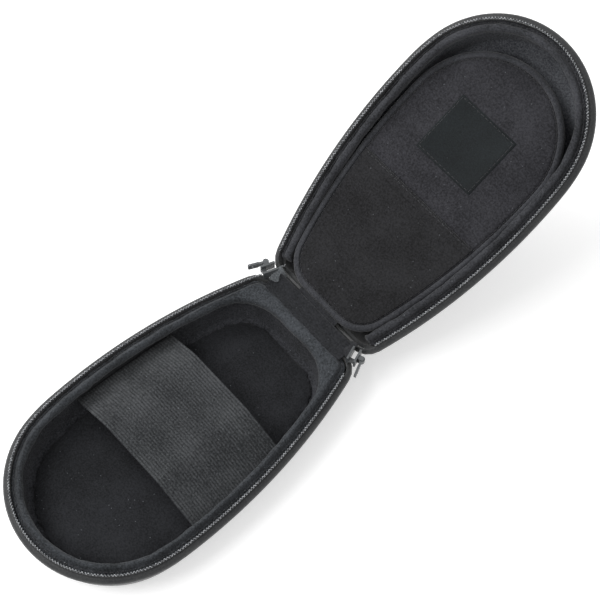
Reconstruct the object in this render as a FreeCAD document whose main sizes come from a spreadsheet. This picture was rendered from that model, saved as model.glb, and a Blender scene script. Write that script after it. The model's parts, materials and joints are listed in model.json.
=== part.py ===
import FreeCAD, Part
import math
import os
import Sketcher

# Harmonica case: a moulded clamshell with a zip, opened, with a padded flap in the lid.
# Every size is in millimetres. The two halves are drawn in one hinge frame: the X axis
# is the fold line of the hinge, the XY plane is where the two zip halves meet, the round
# end lies towards -Y and the shell hangs below. The lid is the same half turned over.

doc = FreeCAD.newDocument("harmonica_case")
sheet = doc.addObject("Spreadsheet::Sheet", "Sizes")

SIZES = [
    # outline of the zip line, seen from above
    ("case_length", 190.0),
    ("far_radius", 52.0),
    ("far_turn", 77.0),
    ("side_radius", 91.0),
    ("side_turn", 87.0),
    ("flank_radius", 345.0),
    ("corner_radius", 10.0),
    ("hinge_gap", 0.4),
    # section of a half
    ("half_depth", 30.0),
    ("shoulder_drop", 3.6),
    ("shoulder_radius", 2.8),
    ("shoulder_centre_out", 0.6),
    ("wall_draft", 15.0),
    ("bottom_radius", 8.0),
    ("cover_thickness", 1.0),
    ("foam_thickness", 3.2),
    ("lining_thickness", 0.8),
    ("floor_pad_thickness", 2.5),
    ("floor_pad_clearance", 0.3),
    # zip
    ("tape_thickness", 0.8),
    ("tape_foot_depth", 9.0),
    ("coil_radius", 1.15),
    ("coil_gap", 0.6),
    ("zip_end_back", 0.6),
    ("zip_end_clearance", 0.1),
    # padded roll along the rim
    ("band_groove", 2.6),
    ("band_radius", 1.8),
    ("band_drop", 1.4),
    ("band_foot_drop", 4.0),
    ("band_foot_radius", 1.5),
    ("lid_band_end_turn", 15.0),
    # hinge cloth
    ("hinge_cloth_overlap", 1.6),
    ("hinge_cloth_thickness", 0.8),
    ("hinge_cloth_top", 0.4),
    ("hinge_cloth_reach", 9.0),
    ("lid_cloth_reach", 3.6),
    # strap
    ("strap_near_edge", 61.0),
    ("strap_far_edge", 122.0),
    ("strap_thickness", 1.4),
    ("strap_top_drop", 3.0),
    ("strap_crown_left", 24.0),
    ("strap_crown_right", 17.0),
    ("strap_wall_reach", 48.0),
    ("strap_end_drop", 13.6),
    ("strap_bend_radius", 12.0),
    ("anchor_drop", 10.0),
    ("anchor_height", 5.6),
    ("anchor_thickness", 1.0),
    ("strap_clearance", 0.1),
    # flap in the lid
    ("open_angle", 150.0),
    ("flap_sink", 4.0),
    ("flap_end_gap", 20.5),
    ("flap_clearance", 0.4),
    ("flap_corner_radius", 16.0),
    ("flap_hinge_back", 2.5),
    ("flap_hinge_drop", 2.9),
    ("flap_edge_reach", 3.0),
    ("flap_board_thickness", 2.0),
    ("flap_cloth_thickness", 0.7),
    ("binding_width", 3.4),
    ("binding_thickness", 0.4),
    ("flap_cloth_rise", 0.9),
    ("flap_hinge_cloth_thickness", 0.5),
    ("flap_hinge_cloth_reach", 1.0),
    ("pocket_top", 80.0),
    ("pocket_thickness", 0.8),
    ("pocket_inset", 0.2),
    ("pocket_hem_width", 5.0),
    ("pocket_hem_thickness", 0.5),
    ("label_width", 40.0),
    ("label_height", 36.5),
    ("label_offset", 1.5),
    ("label_centre", 117.0),
    ("label_thickness", 0.5),
    # zip sliders and their pulls
    ("slider_length", 8.0),
    ("slider_half_height", 3.3),
    ("slider_plate", 1.1),
    ("slider_reach", 1.5),
    ("slider_web_length", 2.6),
    ("slider_web_thickness", 0.5),
    ("slider_rest_back", 0.5),
    ("pin_radius", 0.7),
    ("pull_clearance", 0.3),
    ("pull_eye_wall", 0.7),
    ("pull_half_width", 1.7),
    ("lug_thickness", 0.7),
    ("lug_radius", 1.2),
    ("pull_length", 10.0),
    ("pull_neck", 4.0),
    ("pull_tab_half_width", 2.2),
    ("pull_thickness", 1.2),
    ("pull_corner_radius", 1.2),
    ("pull_hole_radius", 1.1),
    ("pull_rest_turn", 84.0),
    ("overrun", 40.0),
]

for row, (alias, value) in enumerate(SIZES, start=1):
    sheet.set("A%d" % row, alias)
    sheet.set("B%d" % row, str(value))
    sheet.setAlias("B%d" % row, alias)

# sizes that follow from others: where the wall's slope and the flat floor meet the roundings,
# and the flap's length and width inside the lid's roll
DERIVED = [
    ("wall_level", "shoulder_centre_out * cos(wall_draft) + shoulder_radius"
                   " + (shoulder_drop + shoulder_radius) * sin(wall_draft)"),
    ("floor_offset", "(wall_level - bottom_radius"
                     " - (half_depth - bottom_radius) * sin(wall_draft)) / cos(wall_draft)"),
    ("flap_side_radius", "flank_radius - tape_thickness / 2 - band_groove - 2 * band_radius"
                         " - flap_clearance"),
    ("flap_length", "case_length - flap_end_gap"),
]
for row, (alias, formula) in enumerate(DERIVED, start=len(SIZES) + 1):
    sheet.set("A%d" % row, alias)
    sheet.set("B%d" % row, "=" + formula)
    sheet.setAlias("B%d" % row, alias)
doc.recompute()


def size(alias):
    """Read one named size back from the sheet."""
    return float(sheet.get(alias))


parts = {}


def bound(obj, prop, expression):
    """Bind a property to the sheet; the words in the expression are aliases."""
    words = []
    for token in expression.split():
        words.append("Sizes." + token if token in NAMES else token)
    obj.setExpression(prop, " ".join(words))


NAMES = {alias for alias, value in SIZES + DERIVED}


def new_body(name):
    """Start a sub-part of its own; its label is the name of its file."""
    body = doc.addObject("PartDesign::Body", name)
    body.Label = name
    parts[name] = body
    return body


def plane(body, role):
    for feature in body.Origin.OriginFeatures:
        if feature.Role == role:
            return feature


def sketch_on(body, name, role, offset=None):
    """Attach a sketch to an origin plane of its body, lifted by an expression."""
    sketch = body.newObject("Sketcher::SketchObject", name)
    sketch.AttachmentSupport = (plane(body, role), "")
    sketch.MapMode = "FlatFace"
    if offset:
        bound(sketch, "AttachmentOffset.Base.z", offset)
    return sketch


def arc_geometry(start, middle, end):
    """An arc through three points, run anticlockwise, and whether it was turned round."""
    clockwise = (middle - start).cross(end - middle).z < 0
    if clockwise:
        start, end = end, start
    ring = Part.Arc(start, middle, end).toShape().Curve
    centre = ring.Center
    angle_a = math.atan2(start.y - centre.y, start.x - centre.x)
    angle_b = math.atan2(end.y - centre.y, end.x - centre.x)
    if angle_b < angle_a:
        angle_b += 2 * math.pi
    whole = Part.Circle(centre, FreeCAD.Vector(0, 0, 1), ring.Radius)
    return Part.ArcOfCircle(whole, angle_a, angle_b), clockwise


def end_of(piece):
    return piece[2] if len(piece) == 4 else piece[1]


def joins(pieces, closed):
    """Pairs of pieces that meet end to end; a list may hold more than one closed loop."""
    pairs = []
    first = 0
    for i, piece in enumerate(pieces):
        follows = i + 1 < len(pieces) and math.dist(end_of(piece), pieces[i + 1][0]) < 1e-6
        if follows:
            pairs.append((i, i + 1))
        elif closed:
            pairs.append((i, first))
        if not follows:
            first = i + 1
    return pairs


def draw(sketch, pieces, closed=True):
    """Add lines and arcs, join them end to end and bind each arc's radius.

    A piece is (start, end) for a line or (start, middle, end, radius expression)
    for an arc. Points are pairs in the sketch's own plane.
    """
    ends = []
    for piece in pieces:
        points = [FreeCAD.Vector(p[0], p[1], 0) for p in piece[:3] if not isinstance(p, str)]
        if len(points) == 2:
            index = sketch.addGeometry(Part.LineSegment(*points), False)
            ends.append((index, 1, 2))
            continue
        geometry, clockwise = arc_geometry(*points)
        index = sketch.addGeometry(geometry, False)
        ends.append((index, 2, 1) if clockwise else (index, 1, 2))
    for i, j in joins(pieces, closed):
        sketch.addConstraint(Sketcher.Constraint("Coincident", ends[i][0], ends[i][2],
                                                 ends[j][0], ends[j][1]))
    for i, piece in enumerate(pieces):
        if len(piece) == 4 and piece[3]:
            index = sketch.addConstraint(Sketcher.Constraint("Radius", i, sketch.Geometry[i].Radius))
            label = "radius_%d" % i
            sketch.renameConstraint(index, label)
            bound(sketch, "Constraints." + label, piece[3])
    return sketch


def polygon(points):
    """Straight pieces round a list of corners."""
    return [(points[i], points[(i + 1) % len(points)]) for i in range(len(points))]


def circle(sketch, centre, radius_expression, radius):
    """A full circle with its radius bound."""
    index = sketch.addGeometry(Part.Circle(FreeCAD.Vector(centre[0], centre[1], 0),
                                           FreeCAD.Vector(0, 0, 1), radius), False)
    constraint = sketch.addConstraint(Sketcher.Constraint("Radius", index, radius))
    label = "circle_%d" % index
    sketch.renameConstraint(constraint, label)
    bound(sketch, "Constraints." + label, radius_expression)


def pad(body, name, sketch, length, reverse=False, midplane=False):
    feature = body.newObject("PartDesign::Pad", name)
    feature.Profile = sketch
    bound(feature, "Length", length)
    feature.Reversed = reverse
    feature.Midplane = midplane
    return feature


def cut_through(body, name, sketch):
    feature = body.newObject("PartDesign::Pocket", name)
    feature.Profile = sketch
    feature.Type = 1
    feature.Midplane = True
    return feature


def pipe(body, name, profile, spine):
    feature = body.newObject("PartDesign::AdditivePipe", name)
    feature.Profile = profile
    feature.Spine = spine
    return feature


# Outline of the zip line, and its parallels

QUARTER = math.pi / 2
far_turn = math.radians(size("far_turn"))
side_turn = math.radians(size("side_turn"))
shoulder_reach = size("shoulder_centre_out") + size("shoulder_radius")
hinge_edge = -(shoulder_reach + size("hinge_gap"))


def heading(turn):
    """Unit vector from a centre, turned from -Y towards +X."""
    return (math.sin(turn), -math.cos(turn))


def along(centre, distance, turn):
    d = heading(turn)
    return (centre[0] + distance * d[0], centre[1] + distance * d[1])


far_centre = (0.0, -(size("case_length") - size("far_radius")))
side_centre = along(far_centre, size("far_radius") - size("side_radius"), far_turn)
flank_centre = along(side_centre, size("side_radius") - size("flank_radius"), side_turn)
corner_rise = hinge_edge - size("corner_radius") - flank_centre[1]
corner_turn = math.acos(-corner_rise / (size("flank_radius") - size("corner_radius")))
corner_centre = along(flank_centre, size("flank_radius") - size("corner_radius"), corner_turn)


def arc_piece(centre, radius, turn_a, turn_b, side, expression):
    """An arc between two turns, mirrored to the left for side -1."""
    points = [along(centre, radius, t) for t in (turn_a, (turn_a + turn_b) / 2, turn_b)]
    points = [(side * p[0], p[1]) for p in points]
    return (points[0], points[1], points[2], expression)


def half_outline(out, expression, end_turn=math.pi):
    """The right side of the zip line from the round end to the hinge, moved out."""
    steps = [
        (far_centre, "far_radius", 0.0, far_turn),
        (side_centre, "side_radius", far_turn, side_turn),
        (flank_centre, "flank_radius", side_turn, corner_turn),
        (corner_centre, "corner_radius", corner_turn, end_turn),
    ]
    pieces = []
    for centre, alias, turn_a, turn_b in steps:
        bind = alias + expression if expression is not None else None
        pieces.append(arc_piece(centre, size(alias) + out, turn_a, turn_b, 1, bind))
    return pieces


def mirrored(pieces):
    """The same pieces on the left, run the other way."""
    flipped = []
    for piece in reversed(pieces):
        points = [(-p[0], p[1]) for p in reversed(piece[:3])]
        flipped.append((points[0], points[1], points[2], piece[3]))
    return flipped


def outline(out=0.0, expression=""):
    """The closed outline, moved out by a distance."""
    right = half_outline(out, expression)
    left = mirrored(right)
    closing = (right[-1][2], left[0][0])
    return right + [closing] + left


def open_outline(end_turn):
    """The zip line alone, which stops in the two corners beside the hinge."""
    right = half_outline(0.0, "", end_turn)
    return mirrored(right) + right


def zip_line(end_turn):
    """The line that the zip takes: straight on past the corners, towards the fold."""
    right = half_outline(0.0, "")[:2]
    right.append(arc_piece(flank_centre, size("flank_radius"), side_turn, end_turn, 1,
                           "flank_radius"))
    return mirrored(right) + right


def turn_at(back):
    """The turn at which the flank's circle is a distance short of the fold line."""
    return math.acos((flank_centre[1] + back) / size("flank_radius"))


# Section of a half, in pairs (out from the zip line, up from the rim)

draft = math.radians(size("wall_draft"))
wall_out = (math.cos(draft), -math.sin(draft))
shoulder_centre = (size("shoulder_centre_out"), -(size("shoulder_drop") + size("shoulder_radius")))
bottom_height = -size("half_depth") + size("bottom_radius")
bottom_out = size("floor_offset")
bottom_centre = (bottom_out, bottom_height)


def on_wall(depth_in, height):
    """The place on the wall's slope at a height, a depth in from the outer skin."""
    level = size("wall_level") - depth_in
    return ((level - height * wall_out[1]) / wall_out[0], height)


def at_angle(centre, radius, angle):
    return (centre[0] + radius * math.cos(angle), centre[1] + radius * math.sin(angle))


def bottom_arc(depth_in, expression, downward):
    """The rounding between wall and floor, a depth in from the outer skin."""
    radius = size("bottom_radius") - depth_in
    angles = [-draft, (-draft - QUARTER) / 2, -QUARTER]
    points = [at_angle(bottom_centre, radius, a) for a in angles]
    if not downward:
        points.reverse()
    return (points[0], points[1], points[2], expression)


def shoulder_arc(depth_in, expression, downward):
    radius = size("shoulder_radius") - depth_in
    angles = [QUARTER, (QUARTER - draft) / 2, -draft]
    points = [at_angle(shoulder_centre, radius, a) for a in angles]
    if not downward:
        points.reverse()
    return (points[0], points[1], points[2], expression)


def section_sketch(body, name, pieces):
    """Draw a section at the round end, where the zip line crosses the YZ plane."""
    tip = -size("case_length")
    moved = []
    for piece in pieces:
        points = [(tip - p[0], p[1]) for p in piece[:3] if not isinstance(p, str)]
        moved.append(tuple(points) + tuple(piece[3:]))
    return draw(sketch_on(body, name, "YZ_Plane"), moved)


def link(pieces):
    """Fill the gaps between given pieces with straight ones."""
    linked = []
    for i, piece in enumerate(pieces):
        linked.append(piece)
        last = end_of(piece)
        first = pieces[(i + 1) % len(pieces)][0]
        if math.dist(last, first) > 1e-9:
            linked.append((last, first))
    return linked


tape_face = size("tape_thickness") / 2
foam_in = size("cover_thickness") + size("foam_thickness")
lining_in = foam_in + size("lining_thickness")
tape_foot = -size("tape_foot_depth")


def swept(name, pieces, spine_pieces=None):
    """A body that carries one section round the outline."""
    body = new_body(name)
    path = draw(sketch_on(body, name + "_path", "XY_Plane"), spine_pieces or outline(),
                closed=spine_pieces is None)
    section = section_sketch(body, name + "_section", pieces)
    pipe(body, name + "_wall", section, path)
    return body


def floor_plate(body, name, thickness, bottom):
    """The flat floor inside the rounding."""
    flat = draw(sketch_on(body, name + "_floor_outline", "XY_Plane", bottom),
                outline(bottom_out, " + floor_offset"))
    pad(body, name + "_floor", flat, thickness)


def outer_cover(name):
    """The cloth skin on the outside of a half."""
    inner = size("cover_thickness")
    pieces = link([
        shoulder_arc(0.0, "shoulder_radius", True),
        bottom_arc(0.0, "bottom_radius", True),
        bottom_arc(inner, "bottom_radius - cover_thickness", False),
        shoulder_arc(inner, "shoulder_radius - cover_thickness", False),
        ((shoulder_centre[0], -size("shoulder_drop") - inner),
         (tape_face, -size("shoulder_drop") - inner)),
        ((tape_face, -size("shoulder_drop") - inner), (tape_face, -size("shoulder_drop"))),
    ])
    body = swept(name, pieces)
    floor_plate(body, name, "cover_thickness", "- half_depth")
    return body


def foam_shell(name):
    """The moulded foam that gives a half its shape."""
    inner = size("cover_thickness")
    pieces = link([
        shoulder_arc(inner, "shoulder_radius - cover_thickness", True),
        bottom_arc(inner, "bottom_radius - cover_thickness", True),
        bottom_arc(foam_in, "bottom_radius - cover_thickness - foam_thickness", False),
        (on_wall(foam_in, tape_foot), (tape_face, tape_foot)),
        ((tape_face, tape_foot), (tape_face, -size("shoulder_drop") - inner)),
    ])
    body = swept(name, pieces)
    floor_plate(body, name, "foam_thickness", "cover_thickness - half_depth")
    return body


def lining(name):
    """The cloth inside a half, wall and floor."""
    pieces = link([
        (on_wall(lining_in, tape_foot), on_wall(foam_in, tape_foot)),
        bottom_arc(foam_in, "bottom_radius - cover_thickness - foam_thickness", True),
        bottom_arc(lining_in, "bottom_radius - cover_thickness - foam_thickness - lining_thickness",
                   False),
    ])
    body = swept(name, pieces)
    floor_plate(body, name, "lining_thickness",
                "cover_thickness + foam_thickness - half_depth")
    return body


band_outer = -(tape_face + size("band_groove"))
band_middle = band_outer - size("band_radius")
band_inner = band_middle - size("band_radius")
band_height = -(size("band_drop") + size("band_radius"))


def rim_band(name, spine_pieces=None):
    """The padded roll that lines the rim inside the zip."""
    top = (band_middle, band_height)
    foot = (band_inner + size("band_foot_radius"), tape_foot + size("band_foot_radius"))
    crown = [at_angle(top, size("band_radius"), a) for a in (0.0, QUARTER, math.pi)]
    heel = [at_angle(foot, size("band_foot_radius"), math.pi + a)
            for a in (0.0, QUARTER / 2, QUARTER)]
    pieces = link([
        (crown[0], crown[1], crown[2], "band_radius"),
        (heel[0], heel[1], heel[2], "band_foot_radius"),
        ((-tape_face, tape_foot), (-tape_face, -size("band_foot_drop"))),
        ((-tape_face, -size("band_foot_drop")), (band_outer, -size("band_foot_drop"))),
    ])
    return swept(name, pieces, spine_pieces)


coil_height = -(size("coil_gap") + size("coil_radius"))


def zip_tape(name, runs_on):
    """The woven tape that stands between cover and roll and carries the coil.

    In the base its upper edge runs on past the corner of the shell, with the coil's end.
    """
    top = coil_height - size("coil_radius")
    edge = -size("shoulder_drop") + size("zip_end_clearance")

    def strip(foot):
        return polygon([(tape_face, foot), (tape_face, top), (-tape_face, top),
                        (-tape_face, foot)])
    body = swept(name, strip(tape_foot), zip_line(corner_turn))
    if not runs_on:
        return body
    path = draw(sketch_on(body, name + "_edge_path", "XY_Plane"),
                zip_line(turn_at(size("zip_end_back"))), closed=False)
    section = section_sketch(body, name + "_edge_section", strip(edge))
    pipe(body, name + "_edge", section, path)
    return body


def zip_coil(name, runs_on):
    """The nylon coil on the tape's edge."""
    body = new_body(name)
    stop = turn_at(size("zip_end_back")) if runs_on else corner_turn
    path = draw(sketch_on(body, name + "_path", "XY_Plane"), zip_line(stop), closed=False)
    section = sketch_on(body, name + "_section", "YZ_Plane")
    circle(section, (-size("case_length"), coil_height), "coil_radius", size("coil_radius"))
    pipe(body, name + "_bead", section, path)
    return body


def hinge_cloth(name, reach):
    """One leaf of the cloth hinge, from the roll to the fold line, a little wider than the
    straight part of the rim."""
    body = new_body(name)
    half = corner_centre[0] + size("hinge_cloth_overlap")
    near = -size("hinge_gap")
    corners = [(-half, near), (-half, -size(reach)), (half, -size(reach)), (half, near)]
    sketch = draw(sketch_on(body, name + "_outline", "XY_Plane", "- hinge_cloth_top"),
                  polygon(corners))
    pad(body, name + "_leaf", sketch, "hinge_cloth_thickness", reverse=True)
    return body


def floor_pad(name):
    """The plush pad on the base's floor."""
    body = new_body(name)
    inset = bottom_out - size("floor_pad_clearance")
    sketch = draw(sketch_on(body, name + "_outline", "XY_Plane",
                            "cover_thickness + foam_thickness + lining_thickness - half_depth"),
                  outline(inset, " + floor_offset - floor_pad_clearance"))
    pad(body, name + "_pad", sketch, "floor_pad_thickness")
    return body


# Strap

wall_span = size("far_radius") + size("overrun")


def unit(a, b):
    length = math.dist(a, b)
    return ((b[0] - a[0]) / length, (b[1] - a[1]) / length)


def bend(before, corner, after, radius, sink):
    """Round a corner from above: the arc's start, middle and end, a distance below it."""
    u = unit(corner, before)
    w = unit(corner, after)
    half = math.acos(u[0] * w[0] + u[1] * w[1]) / 2
    inward = unit((0, 0), (u[0] + w[0], u[1] + w[1]))
    reach = radius / math.sin(half)
    centre = (corner[0] + reach * inward[0], corner[1] + reach * inward[1])
    starts = [(corner[0] + radius / math.tan(half) * way[0],
               corner[1] + radius / math.tan(half) * way[1]) for way in (u, w)]
    spokes = [unit(centre, starts[0]), (-inward[0], -inward[1]), unit(centre, starts[1])]
    return tuple((centre[0] + (radius - sink) * d[0], centre[1] + (radius - sink) * d[1])
                 for d in spokes)


def strap_face(sink):
    """The strap's line from left to right, a distance below its upper face."""
    top = -size("strap_top_drop")
    crowns = [(-size("strap_crown_left"), top), (size("strap_crown_right"), top)]
    walls = []
    for crown, side in zip(crowns, (-1, 1)):
        slope = (size("strap_end_drop") - size("strap_top_drop")) / (
            size("strap_wall_reach") - abs(crown[0]))
        walls.append((side * wall_span, top - slope * (wall_span - abs(crown[0]))))
    radius = size("strap_bend_radius")
    left = bend(walls[0], crowns[0], crowns[1], radius, sink)
    right = bend(crowns[0], crowns[1], walls[1], radius, sink)
    ends = []
    for wall, crown, side in ((walls[0], crowns[0], -1), (walls[1], crowns[1], 1)):
        way = unit(wall, crown)
        ends.append((wall[0] - side * sink * way[1], wall[1] + side * sink * way[0]))
    return ends[0], left, right, ends[1]


def elastic_strap(name):
    """The wide elastic strap over the tray, in the raised form it has in use."""
    body = new_body(name)
    start, left, right, end = strap_face(0.0)
    low_start, low_left, low_right, low_end = strap_face(size("strap_thickness"))
    under = "strap_bend_radius - strap_thickness"
    pieces = [
        (start, left[0]),
        left + ("strap_bend_radius",),
        (left[2], right[0]),
        right + ("strap_bend_radius",),
        (right[2], end),
        (end, low_end),
        (low_end, low_right[2]),
        (low_right[2], low_right[1], low_right[0], under),
        (low_right[0], low_left[2]),
        (low_left[2], low_left[1], low_left[0], under),
        (low_left[0], low_start),
        (low_start, start),
    ]
    sketch = draw(sketch_on(body, name + "_section", "XZ_Plane", "strap_near_edge"), pieces)
    pad(body, name + "_web", sketch, "strap_far_edge - strap_near_edge")
    foot = -size("anchor_drop") - size("anchor_height")
    inset = on_wall(lining_in + size("anchor_thickness"), foot)[0] - size("strap_clearance")
    ring = sketch_on(body, name + "_ends", "XY_Plane")
    far = -size("case_length") - size("overrun")
    draw(ring, polygon([(-wall_span, far), (wall_span, far), (wall_span, size("overrun")),
                        (-wall_span, size("overrun"))]) + outline(inset, None))
    cut_through(body, name + "_ends_cut", ring)
    return body


def strap_anchor(name, side):
    """The sewn bar that holds one end of the strap to the wall."""
    high = -size("anchor_drop")
    low = high - size("anchor_height")
    inner = lining_in + size("anchor_thickness")
    body = swept(name, polygon([on_wall(lining_in, high), on_wall(lining_in, low),
                                on_wall(inner, low), on_wall(inner, high)]))
    near = -size("strap_near_edge")
    far = -size("strap_far_edge")
    end = -size("case_length") - size("overrun")
    wide = wall_span
    regions = [[(-wide, near), (wide, near), (wide, size("overrun")), (-wide, size("overrun"))],
               [(-wide, end), (wide, end), (wide, far), (-wide, far)],
               [(0.0, end), (-side * wide, end), (-side * wide, size("overrun")),
                (0.0, size("overrun"))]]
    for index, region in enumerate(regions):
        sketch = draw(sketch_on(body, "%s_cut_%d" % (name, index), "XY_Plane"), polygon(region))
        cut_through(body, "%s_trim_%d" % (name, index), sketch)
    return body


# Flap: a padded board with cloth on both sides, bound at the edge and hung at the hinge

flap_side = size("flap_side_radius")
flap_flank = (flank_centre[0], flank_centre[1] + size("flap_hinge_back"))
flap_past = size("flap_length") + flap_flank[1]
flap_far_radius = ((flap_side ** 2 - flap_flank[0] ** 2 - flap_past ** 2)
                   / (2 * (flap_side - flap_past)))
flap_far = (0.0, -(size("flap_length") - flap_far_radius))
flap_far_turn = math.atan2(-flap_flank[0], -(flap_far[1] - flap_flank[1]))
flap_rise = -size("flap_edge_reach") - size("flap_corner_radius") - flap_flank[1]
flap_corner_turn = math.acos(-flap_rise / (flap_side - size("flap_corner_radius")))
flap_corner = along(flap_flank, flap_side - size("flap_corner_radius"), flap_corner_turn)
flap_half = size("flap_board_thickness") / 2
flap_face = flap_half + size("flap_cloth_thickness")


def flap_outline(inset, words):
    """The flap's edge, moved in by a distance; the words name that distance."""
    right = [
        arc_piece(flap_far, flap_far_radius - inset, 0.0, flap_far_turn, 1, None),
        arc_piece(flap_flank, flap_side - inset, flap_far_turn, flap_corner_turn, 1,
                  "flap_side_radius" + words),
        arc_piece(flap_corner, size("flap_corner_radius") - inset, flap_corner_turn, math.pi, 1,
                  "flap_corner_radius" + words),
    ]
    left = mirrored(right)
    return right + [(right[-1][2], left[0][0])] + left


def flap_layer(name, inset, words, bottom, thickness):
    body = new_body(name)
    sketch = draw(sketch_on(body, name + "_outline", "XY_Plane", bottom),
                  flap_outline(inset, words))
    pad(body, name + "_layer", sketch, thickness)
    return body


def flap_sheet(name, bottom, thickness):
    """A layer that fills the flap inside its binding."""
    return flap_layer(name, size("binding_thickness"), " - binding_thickness", bottom, thickness)


def pocket_sheet(name, bottom, thickness):
    """A layer on the flap's front, clear of the binding's lip."""
    inset = size("binding_width") + size("pocket_inset")
    return flap_layer(name, inset, " - binding_width - pocket_inset", bottom, thickness)


def flap_binding(name):
    """The bound edge: a folded tape right round the flap."""
    body = new_body(name)
    wall = size("binding_thickness")
    lip = size("binding_width")
    high = flap_face + wall
    points = [(0.0, -high), (0.0, high), (-lip, high), (-lip, flap_face), (-wall, flap_face),
              (-wall, -flap_face), (-lip, -flap_face), (-lip, -high)]
    tip = -size("flap_length")
    path = draw(sketch_on(body, name + "_path", "XY_Plane"), flap_outline(0.0, ""))
    section = draw(sketch_on(body, name + "_section", "YZ_Plane"),
                   polygon([(tip - out, up) for out, up in points]))
    pipe(body, name + "_tape", section, path)
    return body


def trim_beyond(body, name, limit):
    """Cut away what lies past a line across the flap, away from the hinge."""
    wide = wall_span
    end = -size("flap_length") - size("overrun")
    sketch = draw(sketch_on(body, name, "XY_Plane"),
                  polygon([(-wide, end), (wide, end), (wide, -limit), (-wide, -limit)]))
    cut_through(body, name + "_trim", sketch)


def trim_before(body, name, limit):
    wide = wall_span
    sketch = draw(sketch_on(body, name, "XY_Plane"),
                  polygon([(-wide, -limit), (wide, -limit), (wide, size("overrun")),
                           (-wide, size("overrun"))]))
    cut_through(body, name + "_trim", sketch)


def pocket_panel(name):
    body = pocket_sheet(name, "flap_board_thickness / 2 + flap_cloth_thickness",
                        "pocket_thickness")
    trim_beyond(body, name + "_mouth", size("pocket_top"))
    return body


def pocket_hem(name):
    body = pocket_sheet(name, "flap_board_thickness / 2 + flap_cloth_thickness + pocket_thickness",
                        "pocket_hem_thickness")
    trim_beyond(body, name + "_mouth", size("pocket_top"))
    trim_before(body, name + "_foot", size("pocket_top") - size("pocket_hem_width"))
    return body


def label_patch(name):
    """The bare woven patch above the pocket."""
    body = new_body(name)
    half_w = size("label_width") / 2
    half_h = size("label_height") / 2
    x = size("label_offset")
    y = -size("label_centre")
    sketch = draw(sketch_on(body, name + "_outline", "XY_Plane",
                            "flap_board_thickness / 2 + flap_cloth_thickness"),
                  polygon([(x - half_w, y - half_h), (x + half_w, y - half_h),
                           (x + half_w, y + half_h), (x - half_w, y + half_h)]))
    pad(body, name + "_patch", sketch, "label_thickness")
    return body


def flap_hinge_cloth(name):
    """The cloth that hangs the flap from the lid's hinge leaf."""
    body = new_body(name)
    half = flap_corner[0]
    corners = [(-half, -size("flap_edge_reach")), (half, -size("flap_edge_reach")),
               (half, size("flap_hinge_cloth_reach")), (-half, size("flap_hinge_cloth_reach"))]
    sketch = draw(sketch_on(body, name + "_outline", "XY_Plane", "flap_cloth_rise"),
                  polygon(corners))
    pad(body, name + "_leaf", sketch, "flap_hinge_cloth_thickness")
    return body


# Zip sliders: two plates either side of the coil, joined by a web; the pull hangs on a pin
# Local frame: X along the zip, Y into the case, Z up

plate_out = size("slider_reach") + size("slider_plate")
eye_radius = size("pin_radius") + size("pull_clearance") + size("pull_eye_wall")
pin_out = plate_out + size("pull_clearance") + eye_radius


def zip_slider(name, front):
    body = new_body(name)
    tall = size("slider_half_height")
    web = size("slider_web_thickness") / 2
    reach = size("slider_reach")
    points = [(-plate_out, -tall), (-reach, -tall), (-reach, -web), (reach, -web),
              (reach, -tall), (plate_out, -tall), (plate_out, tall), (reach, tall),
              (reach, web), (-reach, web), (-reach, tall), (-plate_out, tall)]
    section = draw(sketch_on(body, name + "_section", "YZ_Plane"), polygon(points))
    pad(body, name + "_block", section, "slider_length", midplane=True)
    half = size("slider_length") / 2
    web_start = front * (half - size("slider_web_length"))
    gap = draw(sketch_on(body, name + "_throat", "XY_Plane"),
               polygon([(-front * half, -reach), (web_start, -reach), (web_start, reach),
                        (-front * half, reach)]))
    cut_through(body, name + "_throat_cut", gap)
    lug = size("lug_radius")
    ear = draw(sketch_on(body, name + "_lug", "XY_Plane"),
               [((-lug, -plate_out), (-lug, -pin_out)),
                ((-lug, -pin_out), (0.0, -pin_out - lug), (lug, -pin_out), "lug_radius"),
                ((lug, -pin_out), (lug, -plate_out)), ((lug, -plate_out), (-lug, -plate_out))])
    pad(body, name + "_lugs", ear, "2 * ( pull_half_width + pull_clearance + lug_thickness )",
        midplane=True)
    wide = size("slider_length")
    slot = draw(sketch_on(body, name + "_slot", "XY_Plane"),
                polygon([(-wide, -plate_out), (wide, -plate_out), (wide, -plate_out - wide),
                         (-wide, -plate_out - wide)]))
    cut = body.newObject("PartDesign::Pocket", name + "_slot_cut")
    cut.Profile = slot
    cut.Midplane = True
    bound(cut, "Length", "2 * ( pull_half_width + pull_clearance )")
    pin = sketch_on(body, name + "_pin", "XY_Plane")
    circle(pin, (0.0, -pin_out), "pin_radius", size("pin_radius"))
    pad(body, name + "_pin_bar", pin, "2 * ( pull_half_width + pull_clearance + lug_thickness )",
        midplane=True)
    return body


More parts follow.
